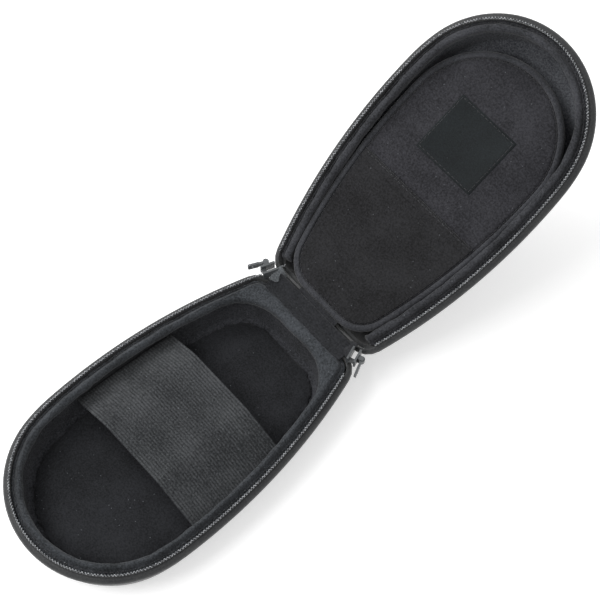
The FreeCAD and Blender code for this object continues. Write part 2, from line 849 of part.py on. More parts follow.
def zip_pull(name):
    """The pull: an eye round the pin and a flat tab with a hole."""
    body = new_body(name)
    eye = sketch_on(body, name + "_eye", "XY_Plane")
    circle(eye, (0.0, 0.0), "pin_radius + pull_clearance + pull_eye_wall", eye_radius)
    pad(body, name + "_eye_pad", eye, "2 * pull_half_width", midplane=True)
    half = size("pull_thickness") / 2
    neck = draw(sketch_on(body, name + "_neck", "XY_Plane"),
                polygon([(-half, -size("pull_neck")), (half, -size("pull_neck")), (half, 0.0),
                         (-half, 0.0)]))
    pad(body, name + "_neck_pad", neck, "2 * pull_half_width", midplane=True)
    wide = size("pull_tab_half_width")
    r = size("pull_corner_radius")
    end = -size("pull_length")
    start = -size("pull_neck")
    diagonal = r * (1 - math.sqrt(0.5))
    tab = draw(sketch_on(body, name + "_tab", "YZ_Plane"),
               [((start, -wide), (start, wide)),
                ((start, wide), (end + r, wide)),
                ((end + r, wide), (end + diagonal, wide - diagonal), (end, wide - r),
                 "pull_corner_radius"),
                ((end, wide - r), (end, r - wide)),
                ((end, r - wide), (end + diagonal, diagonal - wide), (end + r, -wide),
                 "pull_corner_radius"),
                ((end + r, -wide), (start, -wide))])
    pad(body, name + "_tab_pad", tab, "pull_thickness", midplane=True)
    bore = sketch_on(body, name + "_bore", "XY_Plane")
    circle(bore, (0.0, 0.0), "pin_radius + pull_clearance", size("pin_radius") + size("pull_clearance"))
    cut_through(body, name + "_bore_cut", bore)
    hole = sketch_on(body, name + "_hole", "YZ_Plane")
    circle(hole, (end + r + size("pull_hole_radius"), 0.0), "pull_hole_radius",
           size("pull_hole_radius"))
    cut_through(body, name + "_hole_cut", hole)
    return body


# The object: the halves, the flap and the sliders, each in its own place

flat_near = hinge_edge + bottom_out
flat_far = -(size("case_length") + bottom_out)
foot_centre = (flat_near + flat_far) / 2
hinge_point = FreeCAD.Vector(0, -foot_centre, size("half_depth"))
AXIS_X = FreeCAD.Vector(1, 0, 0)
AXIS_Z = FreeCAD.Vector(0, 0, 1)
lean = math.degrees(math.pi) - size("open_angle")
base_place = FreeCAD.Placement(hinge_point, FreeCAD.Rotation(AXIS_Z, 0))
lid_turn = FreeCAD.Rotation(AXIS_X, lean).multiply(FreeCAD.Rotation(AXIS_Z, 180))
lid_place = FreeCAD.Placement(hinge_point, lid_turn)
flap_seat = FreeCAD.Placement(FreeCAD.Vector(0, -size("flap_hinge_back"), -size("flap_hinge_drop")),
                              FreeCAD.Rotation(AXIS_X, size("flap_sink")))
flap_place = lid_place.multiply(flap_seat)
slider_turn = turn_at(size("slider_rest_back"))


def slider_place(side):
    spot = along(flank_centre, size("flank_radius"), slider_turn)
    turn = side * math.degrees(slider_turn)
    seat = FreeCAD.Placement(FreeCAD.Vector(side * spot[0], spot[1], 0),
                             FreeCAD.Rotation(AXIS_Z, turn))
    return base_place.multiply(seat)


def pull_place(side):
    seat = FreeCAD.Placement(FreeCAD.Vector(0, -pin_out, 0),
                             FreeCAD.Rotation(AXIS_Z, -side * size("pull_rest_turn")))
    return slider_place(side).multiply(seat)


base_pieces = [
    outer_cover("base_outer_cover"),
    foam_shell("base_foam_shell"),
    lining("base_lining"),
    floor_pad("base_floor_pad"),
    rim_band("base_rim_band"),
    zip_tape("base_zip_tape", True),
    zip_coil("base_zip_coil", True),
    hinge_cloth("base_hinge_cloth", "hinge_cloth_reach"),
    elastic_strap("elastic_strap"),
    strap_anchor("left_strap_anchor", -1),
    strap_anchor("right_strap_anchor", 1),
]
lid_pieces = [
    outer_cover("lid_outer_cover"),
    foam_shell("lid_foam_shell"),
    lining("lid_lining"),
    rim_band("lid_rim_band", open_outline(corner_turn + math.radians(size("lid_band_end_turn")))),
    zip_tape("lid_zip_tape", False),
    zip_coil("lid_zip_coil", False),
    hinge_cloth("lid_hinge_cloth", "lid_cloth_reach"),
]
flap_pieces = [
    flap_sheet("flap_back_cloth", "- flap_board_thickness / 2 - flap_cloth_thickness",
               "flap_cloth_thickness"),
    flap_sheet("flap_board", "- flap_board_thickness / 2", "flap_board_thickness"),
    flap_sheet("flap_front_cloth", "flap_board_thickness / 2", "flap_cloth_thickness"),
    flap_binding("flap_binding"),
    flap_hinge_cloth("flap_hinge_cloth"),
    pocket_panel("pocket_panel"),
    pocket_hem("pocket_hem"),
    label_patch("label_patch"),
]
placed = [(piece, base_place) for piece in base_pieces]
placed += [(piece, lid_place) for piece in lid_pieces]
placed += [(piece, flap_place) for piece in flap_pieces]
for word, side in (("left", -1), ("right", 1)):
    placed.append((zip_slider(word + "_slider", -side), slider_place(side)))
    placed.append((zip_pull(word + "_pull"), pull_place(side)))
for piece, place in placed:
    piece.Placement = place
doc.recompute()

# Checks, then one file for each sub-part

for item in doc.Objects:
    faults = [word for word in item.State if word in ("Invalid", "Error")]
    if faults:
        raise RuntimeError("%s: %s" % (item.Label, faults))
for name, body in parts.items():
    shape = body.Shape
    if shape.isNull() or not shape.isValid() or len(shape.Solids) != 1:
        raise RuntimeError("%s has no single valid solid" % name)
    box = shape.BoundBox
    print("%-20s %8.0f mm3  x %6.1f %6.1f  y %6.1f %6.1f  z %6.1f %6.1f" % (
        name, shape.Volume, box.XMin, box.XMax, box.YMin, box.YMax, box.ZMin, box.ZMax))
os.makedirs("parts", exist_ok=True)
for name, body in parts.items():
    body.Shape.exportStep("parts/%s.step" % name)
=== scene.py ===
# %% [markdown]
# A zipped clamshell case that lies open: a padded base with a wide elastic strap, and a lid with
# a bound flap. Its solids come from CAD and stay where they are. Cloth, foam and plush are
# modelled here over those solids, because cloth has folds, seams and a weave that a solid lacks.

# %% The frame
import json
import math

import bpy
from mathutils import Matrix, Quaternion, Vector


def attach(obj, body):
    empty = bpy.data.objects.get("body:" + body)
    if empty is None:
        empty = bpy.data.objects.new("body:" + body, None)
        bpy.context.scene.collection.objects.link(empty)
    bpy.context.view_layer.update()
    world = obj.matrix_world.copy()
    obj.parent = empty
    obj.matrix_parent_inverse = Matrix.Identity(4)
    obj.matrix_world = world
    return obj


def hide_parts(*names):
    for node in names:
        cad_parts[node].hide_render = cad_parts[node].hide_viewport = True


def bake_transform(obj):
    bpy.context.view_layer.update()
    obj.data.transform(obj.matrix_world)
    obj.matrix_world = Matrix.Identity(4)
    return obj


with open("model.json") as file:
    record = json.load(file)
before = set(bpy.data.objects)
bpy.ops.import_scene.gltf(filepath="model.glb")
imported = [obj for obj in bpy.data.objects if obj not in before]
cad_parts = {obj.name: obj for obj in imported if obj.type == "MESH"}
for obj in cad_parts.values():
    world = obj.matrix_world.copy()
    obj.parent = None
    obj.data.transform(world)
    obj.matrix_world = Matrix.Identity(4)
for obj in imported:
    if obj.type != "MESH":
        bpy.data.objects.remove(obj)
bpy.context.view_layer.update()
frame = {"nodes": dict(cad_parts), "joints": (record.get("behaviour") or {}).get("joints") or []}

# %% [markdown]
# All sizes are those of the real case, in millimetres, as on a drawing; they are turned to
# metres where a piece is placed. The zip line is the line round the rim that the rows of teeth
# follow. Every section below is measured out from it and up from the rim.

# %% Sizes of the case
MM = 0.001
HINGE = {joint["name"]: Vector(joint["pos_m"]) for joint in frame["joints"]}["lid_hinge"]
LENGTH, DEPTH = 190.0, 30.0
FAR_RADIUS, FAR_TURN = 52.0, 77.0
SIDE_RADIUS, SIDE_TURN = 91.0, 87.0
FLANK_RADIUS, CORNER_RADIUS = 345.0, 10.0
TRAY_CORNER, TRAY_REAR = 32.0, -7.6
HINGE_EDGE = -3.8
OPEN_ANGLE = 150.0


def heading(turn):
    """The direction from an arc's centre, turned from the round end towards the right."""
    return Vector((math.sin(math.radians(turn)), -math.cos(math.radians(turn))))


def corner_in(centre, radius, corner, edge):
    """The centre and the first turn of a round corner between an arc and a straight edge."""
    turn = math.degrees(math.acos((centre.y + corner - edge) / (radius - corner)))
    return centre + heading(turn) * (radius - corner), turn


far_centre = Vector((0, FAR_RADIUS - LENGTH))
side_centre = far_centre + heading(FAR_TURN) * (FAR_RADIUS - SIDE_RADIUS)
flank_centre = side_centre + heading(SIDE_TURN) * (SIDE_RADIUS - FLANK_RADIUS)
corner_centre, CORNER_TURN = corner_in(flank_centre, FLANK_RADIUS, CORNER_RADIUS, HINGE_EDGE)
print("zip line: corner at", [round(c, 2) for c in corner_centre], "turn", round(CORNER_TURN, 2))

# %% [markdown]
# The rim is a chain of arcs that run into each other. It is drawn with a single point that is
# spun round one centre after the other. The same spins also carry a whole section round the
# case, so one pen serves for shells, tapes, rolls and paths.

# %% A pen that draws by extrude and spin
ARC_STEP = 3.2
LINE_STEP = 1.6
SAME_PLACE = 0.01 * MM


def go_to(mode):
    bpy.ops.object.mode_set(mode=mode)


def deselect():
    """Goes back to object mode with nothing selected."""
    if bpy.context.mode != "OBJECT":
        go_to("OBJECT")
    bpy.ops.object.select_all(action="DESELECT")


def select_all():
    bpy.ops.mesh.select_all(action="SELECT")


def pick(piece):
    """Makes a piece the only one that is selected, and the active one."""
    deselect()
    bpy.context.view_layer.objects.active = piece
    piece.select_set(True)


def freeze():
    """Keeps the place, turn and size of a piece in its mesh."""
    bpy.ops.object.transform_apply(location=True, rotation=True, scale=True)


def named(name):
    """Names the piece that has just been added."""
    piece = bpy.context.object
    piece.name = piece.data.name = name
    return piece


def pen_down(name, place):
    """Starts a piece as a single point, left in edit mode and selected."""
    deselect()
    bpy.ops.mesh.primitive_plane_add(size=MM)
    piece = named(name)
    go_to("EDIT")
    bpy.ops.mesh.select_mode(type="VERT")
    select_all()
    bpy.ops.mesh.merge(type="CENTER")
    bpy.ops.transform.translate(value=place)
    return piece


def pull(step):
    """Extrudes what is selected by a step in metres."""
    bpy.ops.mesh.extrude_region_move(TRANSFORM_OT_translate={"value": step})


def spin(centre, turn, axis, pieces):
    """Spins what is selected round a centre. The operator turns clockwise, hence the minus."""
    bpy.ops.mesh.spin(steps=pieces, angle=-math.radians(turn), center=centre, axis=axis)


def at_tip(out, up):
    """A place in the section at the round end, in metres, in the hinge's own frame."""
    return Vector((0, -(LENGTH + out) * MM, up * MM))


def draw_section(name, start, steps, place=at_tip):
    """Draws a section: a pair is a corner to go to, and (centre, turn, pieces) is an arc."""
    here = Vector(start)
    piece = pen_down(name, place(*here))
    for step in steps:
        if len(step) == 2:
            there = Vector(step)
            pull(place(*there) - place(*here))
        else:
            centre, turn, pieces = step
            spin(place(*centre), -turn, (1, 0, 0), pieces)
            arm = here - Vector(centre)
            there = Vector(centre) + Matrix.Rotation(math.radians(turn), 2) @ arm
        here = there
    return piece


def zip_arcs(last_turn=180.0):
    """The zip line's arcs: centre, radius, and the turns where each one starts and ends."""
    arcs = [(far_centre, FAR_RADIUS, 0.0, FAR_TURN),
            (side_centre, SIDE_RADIUS, FAR_TURN, SIDE_TURN),
            (flank_centre, FLANK_RADIUS, SIDE_TURN, min(last_turn, CORNER_TURN))]
    if last_turn > CORNER_TURN:
        arcs.append((corner_centre, CORNER_RADIUS, CORNER_TURN, last_turn))
    return arcs


def tray_arcs():
    """The same chain for what lies inside: its rear corners are wide, as the soft cloth is."""
    centre, turn = corner_in(flank_centre, FLANK_RADIUS, TRAY_CORNER, TRAY_REAR)
    return zip_arcs()[:2] + [(flank_centre, FLANK_RADIUS, SIDE_TURN, turn),
                             (centre, TRAY_CORNER, turn, 180.0)]


def carry_round(arcs, step=ARC_STEP, pieces=None):
    """Spins the selected section round a chain of arcs, in steps of about that many mm."""
    for number, (centre, radius, turn_a, turn_b) in enumerate(arcs):
        length = math.radians(turn_b - turn_a) * radius
        count = pieces[number] if pieces else max(2, round(length / step))
        spin((centre.x * MM, centre.y * MM, 0), turn_b - turn_a, (0, 0, 1), count)


def pull_to_middle(piece, pieces):
    """Goes straight on from the last arc to the case's middle, where the mirror starts."""
    go_to("OBJECT")
    reach = max(v.co.x for v in piece.data.vertices if v.select)
    go_to("EDIT")
    for _ in range(pieces):
        pull((-reach / pieces, 0, 0))


print("pen ready: arcs in steps of", ARC_STEP, "mm")

# %% [markdown]
# A drawn piece is then worked on: a modifier is added and applied, points or faces are
# selected by where they lie, a loop is filled, the half is mirrored.

# %% Work on a drawn piece
def modify(piece, kind, **settings):
    """Adds a modifier and applies it at once."""
    pick(piece)
    modifier = piece.modifiers.new(kind.title(), kind)
    for name, value in settings.items():
        setattr(modifier, name, value)
    bpy.ops.object.modifier_apply(modifier=modifier.name)


def mirror_left(piece):
    """The left half is the right half seen in a mirror; the halves meet in the middle."""
    modify(piece, "MIRROR", use_axis=(True, False, False), use_clip=True,
           use_mirror_merge=True, merge_threshold=0.02 * MM)


def select_where(piece, kind, test=lambda middle: True):
    """Goes to edit mode with the vertices or faces selected whose middle passes a test."""
    pick(piece)
    go_to("EDIT")
    bpy.ops.mesh.select_mode(type=kind)
    bpy.ops.mesh.select_all(action="DESELECT")
    go_to("OBJECT")
    for vertex in piece.data.vertices if kind == "VERT" else ():
        vertex.select = test(vertex.co)
    for face in piece.data.polygons if kind == "FACE" else ():
        face.select = test(face.center)
    go_to("EDIT")


def cut(place, normal, **settings):
    """Cuts all that is in edit mode by a plane through a place in mm."""
    select_all()
    bpy.ops.mesh.bisect(plane_co=Vector(place) * MM, plane_no=normal, **settings)


def at_level(up):
    """A test for a height in mm."""
    return lambda middle: abs(middle.z - up * MM) < SAME_PLACE


def fill_level(piece, up):
    """Closes the open loop of edges that lies at a height in mm with a face."""
    select_where(piece, "VERT", at_level(up))
    bpy.ops.mesh.edge_face_add()
    deselect()


def move_left(piece):
    """Puts a piece of the right side in its mirror place on the left."""
    modify(piece, "MIRROR", use_axis=(True, False, False), use_mirror_merge=False)
    select_where(piece, "FACE", lambda middle: middle.x > 0)
    bpy.ops.mesh.delete(type="FACE")
    deselect()


def outward(piece):
    """Merges doubles and turns all faces outwards."""
    select_where(piece, "FACE")
    bpy.ops.mesh.remove_doubles(threshold=SAME_PLACE)
    bpy.ops.mesh.normals_make_consistent(inside=False)
    deselect()


def upward(piece):
    """Turns a single layer over if its faces look down."""
    if sum(face.normal.z * face.area for face in piece.data.polygons) < 0:
        select_where(piece, "FACE")
        bpy.ops.mesh.flip_normals()
        deselect()


def close_section(piece):
    """Joins the last point of a drawn section to its first, and selects all."""
    go_to("OBJECT")
    edges_at = [0] * len(piece.data.vertices)
    for edge in piece.data.edges:
        for end in edge.vertices:
            edges_at[end] += 1
    select_where(piece, "VERT", lambda middle: False)
    go_to("OBJECT")
    for vertex, edges in zip(piece.data.vertices, edges_at):
        vertex.select = edges == 1
    go_to("EDIT")
    bpy.ops.mesh.edge_face_add()
    select_all()


def cap_ends(piece):
    """Fills the open ends of a swept piece."""
    select_where(piece, "VERT", lambda middle: False)
    bpy.ops.mesh.select_non_manifold(extend=False, use_wire=False, use_multi_face=False,
                                     use_non_contiguous=False, use_verts=False)
    bpy.ops.mesh.edge_face_add()
    deselect()


print("places closer than", SAME_PLACE, "m count as one")

# %% [markdown]
# Each piece is drawn in a hinge frame: the fold line is its X axis and the rim lies level.
# The base only moves up to its place. The lid is the same half turned over, and the flap lies
# in the lid, a little lower and sunk by four degrees. The place is kept in the mesh.

# %% Places of the base, the lid and the flap
FLAP_BACK, FLAP_DROP, FLAP_SINK = 2.5, 2.9, 4.0
base_place = Matrix.Translation(HINGE)
lid_place = (Matrix.Translation(HINGE) @ Matrix.Rotation(math.radians(180 - OPEN_ANGLE), 4, "X")
             @ Matrix.Rotation(math.pi, 4, "Z"))
flap_seat = (Matrix.Translation((0, -FLAP_BACK * MM, -FLAP_DROP * MM))
             @ Matrix.Rotation(math.radians(FLAP_SINK), 4, "X"))
flap_place = lid_place @ flap_seat
PLACES = {"base": base_place, "lid": lid_place, "flap": flap_place}


def settle(piece, place):
    """Moves a piece to its place and keeps the place in its mesh."""
    pick(piece)
    piece.matrix_world = place
    freeze()


def copy_of(piece, name):
    """A copy with a mesh of its own."""
    pick(piece)
    bpy.ops.object.duplicate(linked=False)
    return named(name)


def coat(piece, material, angle):
    """Smooths a piece but for edges sharper than an angle, and gives it its finish."""
    pick(piece)
    bpy.ops.object.shade_smooth_by_angle(angle=math.radians(angle))
    piece.data.materials.clear()
    piece.data.materials.append(material)
    print(piece.name, len(piece.data.polygons), "faces")


def dress(piece, body, nodes, material, angle=40.0, placed=False):
    """Places and finishes a piece, hangs it on the body it rides on, and hides the CAD parts it
    stands for.
    """
    if not placed:
        settle(piece, PLACES[body])
    coat(piece, material, angle)
    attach(piece, body)
    if nodes:
        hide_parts(*nodes)


# %% [markdown]
# Every finish is named for what the real one is, or for the light or shade painted into it.
# Black goods are never black to the eye: the elastic is grey, because its threads catch the
# light, and the plush in the lid is painted paler, as painted light. Patterns are set in object
# coordinates; a thread too fine for the picture is drawn a millimetre coarse.

# %% Tools for the finishes
def linear(code):
    """An sRGB hex colour as linear numbers."""
    parts = [int(code[i:i + 2], 16) / 255 for i in (1, 3, 5)]
    return [c / 12.92 if c <= 0.04045 else ((c + 0.055) / 1.055) ** 2.4 for c in parts] + [1.0]


def add_node(tree, kind, inputs=None, **settings):
    """Adds a node with its settings; an input takes a value or another node's output."""
    node = tree.nodes.new("ShaderNode" + kind)
    for name, value in settings.items():
        setattr(node, name, value)
    for name, value in (inputs or {}).items():
        if isinstance(value, bpy.types.NodeSocket):
            tree.links.new(value, node.inputs[name])
        else:
            node.inputs[name].default_value = value
    return node


def new_material(name, **sockets):
    """An empty material with one Principled shader, whose even values are set here."""
    material = bpy.data.materials.new(name)
    material.use_nodes = True
    shader = material.node_tree.nodes["Principled BSDF"]
    for socket, value in sockets.items():
        shader.inputs[socket.replace("_", " ")].default_value = value
    return material, material.node_tree, shader


def threads(size_mm):
    """How many times a pattern of that size repeats in a metre."""
    return 1000.0 / size_mm


def maths(tree, operation, *numbers):
    """The result of a Math node."""
    return add_node(tree, "Math", dict(enumerate(numbers)), operation=operation).outputs[0]


def noise(tree, where, size_mm, **settings):
    """A noise with grains of a size, as numbers from 0 to 1."""
    return add_node(tree, "TexNoise", {"Vector": where, "Scale": threads(size_mm), **settings}
                    ).outputs["Fac"]


def ramp(tree, source, dark, light, low, high):
    """Colours for numbers: dark up to a low one, light from a high one on."""
    node = add_node(tree, "ValToRGB", {"Fac": source})
    for stop, place, code in zip(node.color_ramp.elements, (low, high), (dark, light)):
        stop.position = place
        stop.color = linear(code)
    return node.outputs["Color"]


def wandering(name, dark, light, grain_mm, detail, low, high, **sockets):
    """A hard surface whose tone wanders between two."""
    material, tree, shader = new_material(name, **sockets)
    where = add_node(tree, "TexCoord").outputs["Object"]
    wear = noise(tree, where, grain_mm, Detail=detail)
    tree.links.new(ramp(tree, wear, dark, light, low, high), shader.inputs["Base Color"])
    return material


CLOUD_SIZE, CLOUD_SHARE = 22.0, 0.3
LINT_SPACING, LINT_RIM, LINT_CORE, LINT_FEW = 2.4, 0.13, 0.05, 0.72
LINT_TONE = "#6f7377"


def cloth(name, dark, light, grain_mm, bump_mm, roughness, sheen, lint):
    """Cloth with a grain of threads, slow changes of tone, lint and a fine bump."""
    material, tree, shader = new_material(
        name, Roughness=roughness, Sheen_Weight=sheen, Sheen_Roughness=0.45,
        Specular_IOR_Level=0.2)
    where = add_node(tree, "TexCoord").outputs["Object"]
    grain = noise(tree, where, grain_mm, Detail=3.0, Roughness=0.7)
    cloud = noise(tree, where, CLOUD_SIZE, Detail=2.0)
    mixed = maths(tree, "MULTIPLY_ADD", grain, 1 - CLOUD_SHARE,
                  maths(tree, "MULTIPLY", cloud, CLOUD_SHARE))
    tone = ramp(tree, mixed, dark, light, 0.39, 0.61)
    cells = add_node(tree, "TexVoronoi", {"Vector": where, "Scale": threads(LINT_SPACING)})
    near = add_node(tree, "MapRange", {"Value": cells.outputs["Distance"], "From Min": LINT_RIM,
                                       "From Max": LINT_CORE})
    few = maths(tree, "GREATER_THAN", cells.outputs["Color"], LINT_FEW)
    share = maths(tree, "MULTIPLY", maths(tree, "MULTIPLY", near.outputs[0], few), lint)
    colour = add_node(tree, "MixRGB", {"Fac": share, "Color1": tone,
                                       "Color2": linear(LINT_TONE)})
    tree.links.new(colour.outputs["Color"], shader.inputs["Base Color"])
    bump = add_node(tree, "Bump", {"Height": grain, "Strength": 0.8, "Distance": bump_mm * MM})
    tree.links.new(bump.outputs["Normal"], shader.inputs["Normal"])
    return material


print("a speck of lint every", LINT_SPACING, "mm at most")

# %% [markdown]
# One line makes each cloth: its dark and light tone, the size and the depth of its grain, how
# rough it is, how much its fibres shine at a low angle, and its lint: light specks of fluff.

# %% The finishes
# PU-coated polyester, woven fine: even dark grey, a faint gloss where it turns away
cover_cloth = cloth("coated polyester weave", "#27282a", "#383939", 0.9, 0.14, 0.5, 0.25, 0.1)
# brushed tricot, a short plush: nearly black, with light specks
plush = cloth("brushed tricot plush", "#1c1d1f", "#3d3e42", 0.9, 0.25, 0.95, 0.10, 0.6)
# the floor pad's plush: darker than the walls
floor_plush = cloth("darker floor plush", "#111214", "#252629", 0.9, 0.20, 0.95, 0.12, 0.6)
# the same tricot in the lid, painted paler: painted light on walls that the lamps leave dark
lid_plush_painted_light = cloth("plush painted paler in the lid", "#2f3034", "#585a5e", 0.9, 0.25, 0.95, 0.12, 0.6)
# the same tricot stretched over a foam roll: the light catches its pile
roll_cloth = cloth("tricot over a foam roll", "#1e2022", "#3f4246", 1.0, 0.28, 0.95, 0.10, 0.6)
# woven polyester tape: flat and even
tape_cloth = cloth("woven zip tape", "#17181a", "#2b2c2f", 0.9, 0.16, 0.85, 0.18, 0.3)
# knitted polyester, loop pile: soft grey with fine specks
flap_cloth = cloth("loop knit", "#18181b", "#323236", 1.0, 0.25, 0.93, 0.17, 0.6)
# the pocket's knit: the flap's knit painted a shade darker, as painted shade towards the hinge
pocket_knit_painted_shade = cloth("pocket knit painted darker", "#0f0f10", "#252527", 1.0, 0.25, 0.93, 0.14, 0.6)
# grosgrain binding, folded over the edge
binding_cloth = cloth("grosgrain binding", "#232427", "#3d3e42", 0.9, 0.22, 0.92, 0.15, 0.5)
# satin weave patch: smooth, a shade darker than the knit
patch_cloth = cloth("satin patch", "#0c0f11", "#191e20", 0.7, 0.10, 0.80, 0.10, 0.2)
# folded edge of the tape: painted lighter, a painted highlight; the left pleat has it, the right
# one the plain tape
fold_painted_highlight = cloth("tape fold painted light", "#3f4244", "#6a6e71", 0.9, 0.12, 0.85, 0.45, 0.1)
# the tape inside the fold: dark, for little light reaches it
crease_cloth = cloth("tape in the fold", "#131416", "#2a2b2e", 1.0, 0.25, 0.95, 0.14, 0.5)
# spun polyester sewing thread
thread_cloth = cloth("sewing thread", "#121214", "#2a2b2e", 0.5, 0.05, 0.75, 0.40, 0.0)
print(len(bpy.data.materials), "finishes")

# %% [markdown]
# The outside of each half is moulded foam under a woven cover. One section holds both: over the
# shoulder, down the wall and round the foot. It is spun round the rim and mirrored, and the
# two floors are filled in.

# %% Shells of the base and the lid
SHOULDER_DROP, SHOULDER_RADIUS, SHOULDER_OUT = 3.6, 2.8, 0.6
DRAFT, FOOT_RADIUS = 15.0, 8.0
WALL, LINING = 4.2, 0.8
TAPE_FACE, TAPE_FOOT = 0.4, -9.0
draft = math.radians(DRAFT)
wall_level = (SHOULDER_OUT * math.cos(draft) + SHOULDER_RADIUS
              + (SHOULDER_DROP + SHOULDER_RADIUS) * math.sin(draft))
foot_out = (wall_level - FOOT_RADIUS - (DEPTH - FOOT_RADIUS) * math.sin(draft)) / math.cos(draft)
foot_centre = (foot_out, FOOT_RADIUS - DEPTH)
shoulder_centre = (SHOULDER_OUT, -SHOULDER_DROP - SHOULDER_RADIUS)


def on_wall(depth, up):
    """The place on the wall's slope at a height, that many mm in from the outer skin."""
    return ((wall_level - depth + up * math.sin(draft)) / math.cos(draft), up)


def beside(centre, radius, angle):
    """The place on an arc at an angle from the outward direction."""
    return (centre[0] + radius * math.cos(math.radians(angle)),
            centre[1] + radius * math.sin(math.radians(angle)))


def sweep(piece, arcs, levels=(), step=ARC_STEP, middle_pieces=8):
    """Carries a piece round a chain of arcs, mirrors it, and fills it at some levels."""
    select_all()
    carry_round(arcs, step)
    if middle_pieces:
        pull_to_middle(piece, middle_pieces)
    deselect()
    mirror_left(piece)
    for level in levels:
        fill_level(piece, level)
    outward(piece)
    return piece


shell = draw_section("base_shell", (foot_out, foot_centre[1] - FOOT_RADIUS + WALL), [
    (foot_centre, 90 - DRAFT, 5),
    on_wall(WALL, TAPE_FOOT),
    (TAPE_FACE, TAPE_FOOT),
    (TAPE_FACE, -SHOULDER_DROP),
    (SHOULDER_OUT, -SHOULDER_DROP),
    (shoulder_centre, -90 - DRAFT, 8),
    beside(foot_centre, FOOT_RADIUS, -DRAFT),
    (foot_centre, DRAFT - 90, 8),
])
sweep(shell, zip_arcs(), (-DEPTH, WALL - DEPTH))
lid_shell = copy_of(shell, "lid_shell")
for piece, half in ((shell, "base"), (lid_shell, "lid")):
    dress(piece, half, [half + "_outer_cover", half + "_foam_shell"], cover_cloth)

# %% [markdown]
# The lining is a thin plush cloth glued to the foam. It is drawn as a line, filled at the floor,
# and given its thickness outwards, so that the face one sees is smooth.

# %% Linings
lining = draw_section("base_lining_cloth", on_wall(WALL + LINING, TAPE_FOOT), [
    beside(foot_centre, FOOT_RADIUS - WALL - LINING, -DRAFT),
    (foot_centre, DRAFT - 90, 5),
])
sweep(lining, tray_arcs(), (WALL + LINING - DEPTH,))
modify(lining, "SOLIDIFY", thickness=0.9 * LINING * MM, offset=-1.0, use_even_offset=True)
lid_lining = copy_of(lining, "lid_lining_cloth")
dress(lining, "base", ["base_lining"], plush)
dress(lid_lining, "lid", ["lid_lining"], lid_plush_painted_light)

# %% [markdown]
# A pad's closed skin is filled with a little pressure, as foam fills its cover, and the cloth
# swells where nothing holds it. The result of a few frames is kept in the mesh. How far a
# point may move is capped, so that the piece stays in its place.

# %% Padding by pressure
PRESS_FRAMES, VOXEL, PRESSURE, SWELL_CAP = 20, 1.8, 4.0, 0.9


def puff(piece, held):
    """Remeshes a piece evenly and lets pressure swell its cloth, by a cap at most."""
    modify(piece, "REMESH", mode="VOXEL", voxel_size=VOXEL * MM)
    before = [point.co.copy() for point in piece.data.vertices]
    skin = piece.modifiers.new("Skin", "CLOTH")
    skin.settings.quality = 5
    skin.settings.mass = 0.15
    skin.settings.use_pressure = True
    skin.settings.uniform_pressure_force = PRESSURE
    skin.settings.effector_weights.gravity = 0.0
    group = piece.vertex_groups.new(name="held")
    group.add([k for k, place in enumerate(before) if held(place)], 1.0, "REPLACE")
    skin.settings.vertex_group_mass = "held"
    skin.point_cache.frame_start = 1
    skin.point_cache.frame_end = PRESS_FRAMES
    for number in range(1, PRESS_FRAMES + 1):
        bpy.context.scene.frame_set(number)
    pick(piece)
    bpy.ops.object.modifier_apply(modifier=skin.name)
    bpy.context.scene.frame_set(1)
    moved = 0.0
    for point, place in zip(piece.data.vertices, before):
        step = point.co - place
        if step.length > SWELL_CAP * MM:
            point.co = place + step * (SWELL_CAP * MM / step.length)
        moved = max(moved, (point.co - place).length)
    print(piece.name, "swells by up to", round(moved / MM, 2), "mm,", len(before), "points")


print("padding swells in", PRESS_FRAMES, "frames")

# %% [markdown]
# Inside the zip a padded roll runs round the base's rim: tricot over a foam cord, sewn down next
# to the tape. Its outer side keeps to the zip line and its inner side to the wider corners of
# the tray, so the two are drawn apart and bridged over the crest.

# %% The base's roll
CREST_UP = -1.35
ROLL_PIECES = (29, 7, 52, 10)
ROLL_START, ROLL_HEEL = (-TAPE_FACE - 0.05, TAPE_FOOT), (-4.2, TAPE_FOOT)


def carry_side(name, start, steps, arcs):
    """One side of the roll; both sides get the same number of pieces, so that they fit."""
    side = draw_section(name, start, steps)
    select_all()
    carry_round(arcs, pieces=ROLL_PIECES)
    pull_to_middle(side, 12)
    return side


def join_all(pieces):
    """Makes one piece of several; it keeps the first one's name."""
    pick(pieces[0])
    for piece in pieces:
        piece.select_set(True)
    bpy.ops.object.join()
    return pieces[0]


outer_side = carry_side("base_roll", ROLL_START, [
    (-TAPE_FACE - 0.05, -4.3), (-1.8, -4.4), (-2.8, -4.0), (-3.2, -3.1), (-3.7, -2.1),
    (-4.5, CREST_UP)], zip_arcs())
inner_side = carry_side("roll_inside", (-5.0, CREST_UP), [
    (-6.1, -2.0), (-6.8, -3.2), (-6.9, -4.8), (-6.6, -6.6), (-5.6, -8.3), ROLL_HEEL],
    tray_arcs())
roll = join_all([outer_side, inner_side])
mirror_left(roll)
for level, cuts in ((CREST_UP, 2), (TAPE_FOOT, 0)):
    select_where(roll, "VERT", at_level(level))
    bpy.ops.mesh.bridge_edge_loops(number_cuts=cuts, interpolation="LINEAR")
outward(roll)
print("base roll:", len(roll.data.polygons), "faces as drawn")

# %% [markdown]
# The lid's roll is a closed section that goes a little way round the rear corners and sinks
# away there. The cloth of a roll is never quite even: a slow noise moves it in and out, and a
# fine one creases it.

